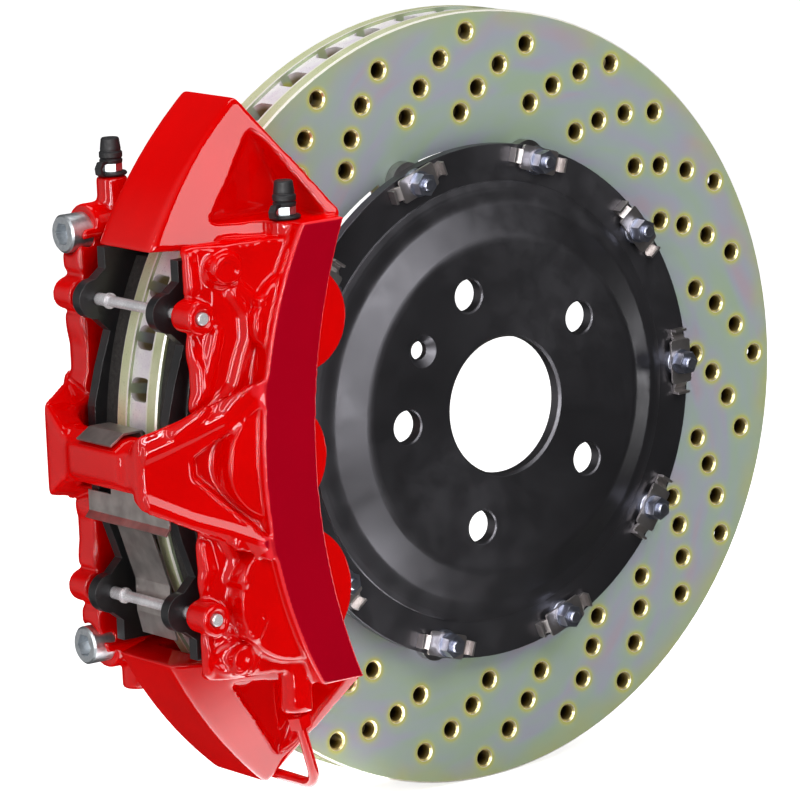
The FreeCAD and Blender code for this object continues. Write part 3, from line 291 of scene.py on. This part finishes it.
def hat_black():
    """Black anodised aluminium, turned, so that highlights spread out from the middle.

    A shallow valley runs round it between the wall and the flange."""
    f = Finish("hat_black", metallic=0.9, anisotropic=0.5)
    valley_start, valley_end, valley_depth = 97.0, 106.0, 2.6
    radius, angle, y = polar(f)
    tone = f.ramp(f.noise(45, 3), (0.3, "5A595D"), (0.7, "636267"))
    # Painted highlight: the hat's edges are lightened towards pale grey.
    tone = f.blend(f.math("MULTIPLY", f.edge_glint_mask(0.5), 0.35), tone, tint("8F8D93"))
    f.set("base_color", tone)
    f.set("roughness", f.fade(f.noise(14, 3), 0.3, 0.7, 0.34, 0.44))
    f.set("tangent", f.add("Tangent", {}, direction_type="RADIAL", axis="Y").outputs[0])
    turning = f.noise(0.5, 2, 0.5, f.join(radius, y, 0.0))
    valley = f.bump(f.fade(radius, valley_start, valley_end), valley_depth, f.soft_edges(0.5))
    f.set("normal", f.bump(turning, 0.006, f.bump(f.noise(0.8, 3), 0.004, valley)))
    return f.material


def metal(name, dark, light, roughness, grain=6.0, bite=0.006, metallic=1.0):
    """Plated or bare metal with a cloudy tone, fine grain and edges that catch the light."""
    f = Finish(name, metallic=metallic)
    f.set("base_color", f.ramp(f.noise(grain, 3), (0.3, dark), (0.7, light)))
    fine = f.noise(0.5, 4, 0.6)
    f.set("roughness", f.math("MULTIPLY_ADD", fine, 0.16, roughness - 0.08))
    f.set("normal", f.bump(fine, bite, f.soft_edges(0.2)))
    return f.material


def brushed(name, dark, light, roughness, along):
    """Rolled strip with fine lines along one axis (a tuple of stretches for X, Y and Z)."""
    f = Finish(name, metallic=1.0)
    lines = f.add("VectorMath", {0: f.place, 1: along}, operation="MULTIPLY").outputs[0]
    streak = f.noise(0.4, 3, 0.6, lines)
    f.set("base_color", f.ramp(f.noise(9, 2), (0.3, dark), (0.7, light)))
    f.set("roughness", f.math("MULTIPLY_ADD", streak, 0.2, roughness - 0.1))
    f.set("normal", f.bump(streak, 0.004, f.soft_edges(0.2)))
    return f.material


def rubber(name, dark, light, roughness=0.5):
    """Moulded rubber, slightly blotched and matt."""
    f = Finish(name, specular=0.45)
    f.set("base_color", f.ramp(f.noise(3.5, 3), (0.3, dark), (0.7, light)))
    f.set("roughness", f.fade(f.noise(2.0, 3), 0.3, 0.7, roughness - 0.08, roughness + 0.1))
    f.set("normal", f.bump(f.noise(0.35, 3), 0.012, f.soft_edges(0.35)))
    return f.material


def friction_compound():
    """Pressed friction compound with brass and grey flecks."""
    f = Finish("friction_compound", specular=0.25)
    body = f.ramp(f.noise(2.5, 4, 0.65), (0.3, "2C2A29"), (0.7, "3D3A38"))
    fleck = f.fade(f.cells(1.3), 0.20, 0.10)
    kind = f.ramp(f.cells(1.3, output="Color"), (0.0, "6E5A33"), (0.5, "5C5A58"), (1.0, "17171A"))
    f.set("base_color", f.blend(f.math("MULTIPLY", fleck, 0.7), body, kind))
    f.set("roughness", f.fade(f.noise(1.2, 3), 0.3, 0.7, 0.72, 0.9))
    f.set("normal", f.bump(f.noise(0.7, 4, 0.7), 0.05, f.soft_edges(0.4)))
    return f.material


def coated_plate():
    """Black powder coat on steel, with a painted grey highlight along the edges."""
    f = Finish("plate_black", specular=0.5)
    tone = f.ramp(f.noise(12, 3), (0.3, "19191B"), (0.7, "242326"))
    # Painted highlight: grey along the plate's edges.
    f.set("base_color", f.blend(f.math("MULTIPLY", f.edge_glint_mask(0.4), 0.5), tone, tint("5F5E62")))
    f.set("roughness", f.fade(f.noise(5, 3), 0.3, 0.7, 0.30, 0.42))
    f.set("normal", f.bump(f.noise(0.9, 3), 0.02, f.soft_edges(0.45)))
    return f.material


def wear(material, *names):
    """Give CAD nodes a material."""
    for name in names:
        nodes[name].data.materials.clear()
        nodes[name].data.materials.append(material)


def make_finishes():
    """Every CAD node's material, apart from those painted with the casting."""
    wear(ring_plating(), "disc_ring")
    wear(hat_black(), "hat")
    wear(metal("bobbin_steel", "8E8C8C", "A9A7A5", 0.34), "bobbins")
    blue_zinc = metal("blue_zinc", "969AAA", "B8BBC8", 0.36, 4.0, 0.01)
    wear(blue_zinc, "bobbin_bolts", "bobbin_washers", "bobbin_nuts")
    wear(metal("bright_stainless", "B9B2B1", "D2CCCA", 0.38, 8.0), "retainer_clips")
    silver_zinc = metal("silver_zinc", "B9BEC4", "D5D9DC", 0.38, 2.0, 0.03)
    wear(silver_zinc, "mounting_bolts", "bleed_screw_outboard", "bleed_screw_inboard")
    wear(metal("pin_steel", "D9D8DC", "F3F2F5", 0.26, 12.0, 0.003, metallic=0.35), "pad_pins")
    wear(brushed("spring_stainless", "A09794", "C0B8B4", 0.40, (1.0, 12.0, 1.0)), "pad_spring")
    wear(rubber("cap_rubber", "17171A", "232226"), "bleed_cap_outboard", "bleed_cap_inboard")
    wear(rubber("seal_rubber", "121213", "1B1B1C", 0.6), "piston_seals", "dust_boots")
    wear(friction_compound(), "pad_friction_outboard", "pad_friction_inboard")
    wear(coated_plate(), "pad_plate_outboard", "pad_plate_inboard")
    wear(metal("shim_steel", "5F5E60", "7A7878", 0.42), "pad_shim_outboard", "pad_shim_inboard")
    wear(metal("piston_alloy", "76726A", "94908A", 0.40),
         *[name for name in nodes if name.startswith("piston_") and name != "piston_seals"])


# ------------------------------------------------------------------ caliper casting
def bake(piece, name):
    """Apply a piece's modifiers and shade it smooth."""
    bpy.context.view_layer.update()
    graph = bpy.context.evaluated_depsgraph_get()
    mesh = bpy.data.meshes.new_from_object(piece.evaluated_get(graph))
    piece.modifiers.clear()
    piece.data = mesh
    mesh.name = name
    mesh.shade_smooth()


def soften(piece, rounds, group=""):
    """Round off a piece's skin, or only a named group of its vertices."""
    soft = piece.modifiers.new("soft", "SMOOTH")
    soft.factor = 0.5
    soft.iterations = rounds
    soft.vertex_group = group


def vertex_rows(piece, attribute):
    """An attribute of a piece's vertices, co or normal, as rows of x, y, z."""
    rows = np.empty(len(piece.data.vertices) * 3, dtype=np.float32)
    piece.data.vertices.foreach_get(attribute, rows)
    return rows.reshape(-1, 3)


def cast_copy(node, name, voxel, rounds):
    """A copy of a CAD node with one closed skin and softly rounded edges and corners."""
    piece = bpy.data.objects.new(name, nodes[node].data.copy())
    bpy.context.scene.collection.objects.link(piece)
    skin = piece.modifiers.new("skin", "REMESH")
    skin.mode = "VOXEL"
    skin.voxel_size = voxel
    skin.adaptivity = 0
    soften(piece, rounds)
    bake(piece, name)
    return piece


def ring_path(x, z, radius):
    """A closed circle of points in the XZ plane."""
    corners = 20
    turns = [2 * math.pi * step / corners for step in range(corners + 1)]
    return [(x + radius * math.cos(turn), z + radius * math.sin(turn)) for turn in turns]


def path_distance(x, z, path):
    """Distance from each (x, z) to the nearest point of a path of straight pieces."""
    nearest = np.full(len(x), 1e9)
    for (x0, z0), (x1, z1) in zip(path, path[1:]):
        dx, dz = x1 - x0, z1 - z0
        along = np.clip(((x - x0) * dx + (z - z0) * dz) / (dx * dx + dz * dz), 0, 1)
        nearest = np.minimum(nearest, np.hypot(x - x0 - along * dx, z - z0 - along * dz))
    return nearest


def relief(piece, strokes, towards, near, far):
    """Raise rounded strokes of (path, half width, height) in millimetres.

    The paths are drawn in the XZ plane. Only skin that faces towards a direction and lies
    between the Y places near and far is moved, along its own normal."""
    least_lean, full_lean, profile = 0.15, 0.50, 1.6
    places, normals = vertex_rows(piece, "co"), vertex_rows(piece, "normal")
    lean = normals @ np.array(towards, dtype=np.float32)
    lean = np.clip((lean - least_lean) / (full_lean - least_lean), 0, 1)
    chosen = np.nonzero((lean > 0) & (places[:, 1] > near * MM) & (places[:, 1] < far * MM))[0]
    x, z = places[chosen, 0] / MM, places[chosen, 2] / MM
    raised = np.zeros(len(chosen))
    for path, half_width, height in strokes:
        share = np.clip(1 - (path_distance(x, z, path) / half_width) ** 2, 0, 1) ** profile
        raised = np.maximum(raised, share * height)
    move = raised * lean[chosen] * MM
    places[chosen] += normals[chosen] * move[:, None].astype(np.float32)
    piece.data.vertices.foreach_set("co", places.ravel())
    piece.data.update()


def casting_ribs():
    """Ribs, beads and cups of the outboard wall, as (path, half width, height)."""
    return [
        ([(-187, 99), (-186, 84), (-190, 78)], 3.8, 2.6),
        ([(-189, 60), (-184, 46), (-184, 34), (-189, 24), (-198, 17)], 4.2, 3.0),
        ([(-196, -30), (-187, -38), (-185, -50), (-189, -60)], 4.2, 2.8),
        ([(-188, -80), (-186, -88), (-187, -98)], 3.8, 2.6),
        ([(-214, 6), (-203, 11), (-191, 17), (-180, 23), (-169, 34)], 5.0, 2.2),
        ([(-213, -14), (-193, -25), (-178, -31), (-166, -37)], 5.0, 2.2),
        ([(-177, 62), (-180, 50), (-183, 34)], 4.0, 2.6),
        ([(-168, 80), (-162, 70), (-162, 58), (-165, 50), (-169, 37), (-177, 27)], 4.4, 3.2),
        ([(-168, 86), (-158, 76)], 3.4, 2.8),
        ([(-176, -36), (-173, -44), (-175, -54)], 4.2, 2.6),
        ([(-178, -79), (-170, -82), (-165, -74)], 2.8, 1.6),
        (ring_path(*UPPER_BOSS, 6.6), 2.6, 1.8),
        (ring_path(*LOWER_BOSS, 7.2), 2.8, 1.6),
        (ring_path(PIN_X, PIN_Z, 6.0), 2.2, 1.6),
        (ring_path(PIN_X, -PIN_Z, 6.0), 2.2, 1.6),
    ]


def inner_beads():
    """The bead along the windows' inboard edge, as (path, half width, height)."""
    return [
        ([(-187, 99), (-186, 84)], 3.6, 2.0),
        ([(-188, 60), (-184, 46), (-184, 34), (-190, 22)], 3.8, 2.2),
        ([(-190, -26), (-185, -38), (-185, -50), (-188, -60)], 3.8, 2.2),
        ([(-186, -84), (-187, -98)], 3.6, 2.0),
    ]


def make_casting():
    """The caliper body as a painted casting, with rounder bridges and relief on both arms."""
    paint = casting_paint()
    casting = cast_copy("caliper_body", "caliper_casting", 0.9 * MM, 10)
    round_bridges(casting)
    arm, arm_end = 36, 60  # where the inboard arm's wall lies, out from the ring's middle
    relief(casting, casting_ribs(), (-0.5, -0.86, 0.0), BAND_Y + 1.2, RING_Y - arm)
    relief(casting, inner_beads(), (-0.6, 0.8, 0.0), RING_Y + arm, RING_Y + arm_end)
    soften(casting, 6)
    bake(casting, "caliper_casting")
    casting.data.materials.clear()
    casting.data.materials.append(paint)
    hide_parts("caliper_body")
    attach(casting, "caliper")
    wear(paint, "crossover_pipe", "pipe_nuts")


def round_bridges(casting):
    """Soften the two end bridges and the centre bridge more than the rest of the casting."""
    roof, end_start, inboard_limit = 185, 95, RING_Y + 38
    bridge_half, bridge_front = 30, -190
    x, y, z = vertex_rows(casting, "co").T / MM
    end_bridges = (np.hypot(x, z) > roof) & (np.abs(z) > end_start) & (y < inboard_limit)
    centre_bridge = (np.abs(z) < bridge_half) & (x < bridge_front)
    rounder = casting.vertex_groups.new(name="rounder")
    rounder.add(np.nonzero(end_bridges | centre_bridge)[0].tolist(), 1.0, "REPLACE")
    soften(casting, 30, "rounder")
    bake(casting, "caliper_casting")


def smooth_cad_nodes():
    """Shade the CAD nodes smooth, but for their corners."""
    for node in nodes.values():
        node.data.shade_smooth()
        node.data.set_sharp_from_angle(angle=math.radians(32))


# ------------------------------------------------------------------ studio
def softbox(name, place, aim, size, glow, use):
    """An area light at a place, facing another; glow is its radiance.

    Its use is "fill", for soft light on surfaces, or "shine", to be seen in reflections."""
    light = bpy.data.lights.new(name, "AREA")
    light.shape = "RECTANGLE"
    light.size, light.size_y = size
    light.energy = glow * size[0] * size[1] * math.pi
    lamp = bpy.data.objects.new(name, light)
    bpy.context.scene.collection.objects.link(lamp)
    lamp.location = place
    lamp.rotation_euler = (Vector(aim) - Vector(place)).to_track_quat("-Z", "Y").to_euler()
    lamp.visible_camera = False
    lamp.visible_glossy = use == "shine"
    lamp.visible_diffuse = use == "fill"


def make_lights():
    """A key light above, soft light all round, and strips that draw the highlights."""
    middle = (-0.08, RING_MIDDLE, 0)
    softbox("key_fill", (-0.15, -1.35, 1.25), middle, (1.3, 0.9), 3.6, "fill")
    softbox("key_shine", (-0.35, -1.35, 1.10), middle, (1.2, 1.15), 5.2, "shine")
    softbox("top_fill", (-0.1, 0.35, 1.6), middle, (1.2, 1.0), 4.0, "fill")
    softbox("top_shine", (0.1, 0.45, 1.5), middle, (1.5, 0.45), 3.5, "shine")
    softbox("left_fill", (-1.7, -0.25, 0.55), middle, (0.5, 1.1), 2.4, "fill")
    softbox("left_shine", (-1.55, -0.05, 0.35), middle, (0.16, 1.3), 10.0, "shine")
    softbox("left_strip", (-1.45, -1.0, 0.25), middle, (0.10, 1.2), 30.0, "shine")
    softbox("near_strip", (-1.22, -1.20, 0.10), middle, (0.08, 1.3), 26.0, "shine")
    softbox("front_fill", (0.6, -1.6, -0.1), middle, (0.8, 0.8), 1.2, "fill")
    softbox("right_shine", (1.75, 0.10, -0.28), middle, (0.26, 0.30), 4.0, "shine")
    softbox("hat_shine", (-0.55, -1.66, -0.13), middle, (0.28, 0.45), 9.0, "shine")


def make_table_glow():
    """Bright table under the caliper's lower end, seen only in reflections.

    It is dimmest at its front left corner."""
    left, right, front, back, height = -0.32, -0.06, -0.15, 0.04, FLOOR + 0.004
    dim, bright = -262.0, -165.0  # millimetres along the fade, which runs mostly along X
    corners = [(left, front, height), (right, front, height), (right, back, height), (left, back, height)]
    mesh = bpy.data.meshes.new("table_glow")
    mesh.from_pydata(corners, [], [(0, 1, 2, 3)])
    glow = bpy.data.objects.new("table_glow", mesh)
    bpy.context.scene.collection.objects.link(glow)
    f = Finish("table_glow", specular=0.0, roughness=1.0)
    f.set("base_color", tint("000000"))
    f.set("emission_color", (1.0, 1.0, 1.0, 1.0))
    x, y, z = f.split(f.place)
    f.set("emission_strength", f.fade(f.math("MULTIPLY_ADD", y, 0.6, x), dim, bright, 0.8, 6.0))
    mesh.materials.append(f.material)
    glow.visible_camera = False
    glow.visible_diffuse = False
    glow.visible_shadow = False


def make_world():
    """White to the camera, a pale room for soft light, and dark in reflections but for the left."""
    to_left = (-0.99, 0.15, 0.0)
    diffuse_level = 0.29
    levels = {"From Min": 0.4, "From Max": 0.85, "To Min": 0.04, "To Max": 0.6}
    world = bpy.data.worlds.new("studio")
    bpy.context.scene.world = world
    world.use_nodes = True
    tree = world.node_tree
    tree.nodes.clear()

    def math_node(operation, first, second, third=0.0):
        node = tree.nodes.new("ShaderNodeMath")
        node.operation = operation
        for socket, value in zip(node.inputs, (first, second, third)):
            if isinstance(value, bpy.types.NodeSocket):
                tree.links.new(value, socket)
            else:
                socket.default_value = value
        return node.outputs[0]

    rays = tree.nodes.new("ShaderNodeLightPath").outputs
    way = tree.nodes.new("ShaderNodeTexCoord").outputs["Generated"]
    lean = tree.nodes.new("ShaderNodeVectorMath")
    lean.operation = "DOT_PRODUCT"
    tree.links.new(way, lean.inputs[0])
    lean.inputs[1].default_value = to_left
    side = tree.nodes.new("ShaderNodeMapRange")
    side.interpolation_type = "SMOOTHSTEP"
    tree.links.new(lean.outputs["Value"], side.inputs["Value"])
    for label, level in levels.items():
        side.inputs[label].default_value = level
    glossy = math_node("MULTIPLY", rays["Is Glossy Ray"], side.outputs[0])
    diffuse = math_node("MULTIPLY_ADD", rays["Is Diffuse Ray"], diffuse_level, glossy)
    total = math_node("ADD", rays["Is Camera Ray"], diffuse)
    shown = tree.nodes.new("ShaderNodeBackground")
    shown.inputs["Color"].default_value = (1.0, 1.0, 1.0, 1.0)
    tree.links.new(total, shown.inputs["Strength"])
    out = tree.nodes.new("ShaderNodeOutputWorld")
    tree.links.new(shown.outputs[0], out.inputs[0])


def make_floor():
    """A pale floor that curves up far behind into a backdrop."""
    near, far, bend, high, half_width = -2.5, 2.4, 0.8, 3.5, 4
    sink = 0.0002  # keeps the floor just under the ring
    steps = 12
    profile = [(near, 0.0)]
    for step in range(steps + 1):
        angle = math.radians(90 * step / steps)
        profile.append((far + bend * math.sin(angle), bend - bend * math.cos(angle)))
    profile.append((far + bend, high))
    mesh = bpy.data.meshes.new("floor")
    points = []
    for side in (-half_width, half_width):
        points += [(side, y, FLOOR + z - sink) for y, z in profile]
    count = len(profile)
    faces = [(i, i + 1, count + i + 1, count + i) for i in range(count - 1)]
    mesh.from_pydata(points, [], faces)
    mesh.shade_smooth()
    floor = bpy.data.objects.new("floor", mesh)
    bpy.context.scene.collection.objects.link(floor)
    f = Finish("pale_floor", roughness=0.7, specular=0.2)
    f.set("base_color", f.ramp(f.noise(400, 2), (0.3, "F4F3F2"), (0.7, "F7F6F5")))
    f.set("emission_color", (1.0, 1.0, 1.0, 1.0))
    rays = f.add("LightPath", {})
    f.set("emission_strength", f.math("MULTIPLY", rays.outputs["Is Camera Ray"], 0.75))
    mesh.materials.append(f.material)
    floor.visible_glossy = False


def make_camera():
    """The camera looks at the object from its left, a little above the axle."""
    azimuth, elevation, roll = math.radians(-37.08), math.radians(10.95), math.radians(-2.42)
    distance = 2.635
    aim = Vector((-0.0338, RING_MIDDLE, 0.0031))
    back = Vector((math.sin(azimuth) * math.cos(elevation), -math.cos(azimuth) * math.cos(elevation),
                   math.sin(elevation)))
    lens = bpy.data.cameras.new("camera")
    lens.sensor_width = 36
    lens.lens = 243.9
    lens.clip_end = 50
    camera = bpy.data.objects.new("camera", lens)
    bpy.context.scene.collection.objects.link(camera)
    turn = (-back).to_track_quat("-Z", "Y").to_matrix().to_4x4()
    camera.matrix_world = Matrix.Translation(aim + back * distance) @ turn @ Matrix.Rotation(roll, 4, "Z")
    bpy.context.scene.camera = camera


make_finishes()
smooth_cad_nodes()
make_casting()
make_floor()
make_world()
make_lights()
make_table_glow()
make_camera()
bpy.context.scene.view_settings.view_transform = "Standard"
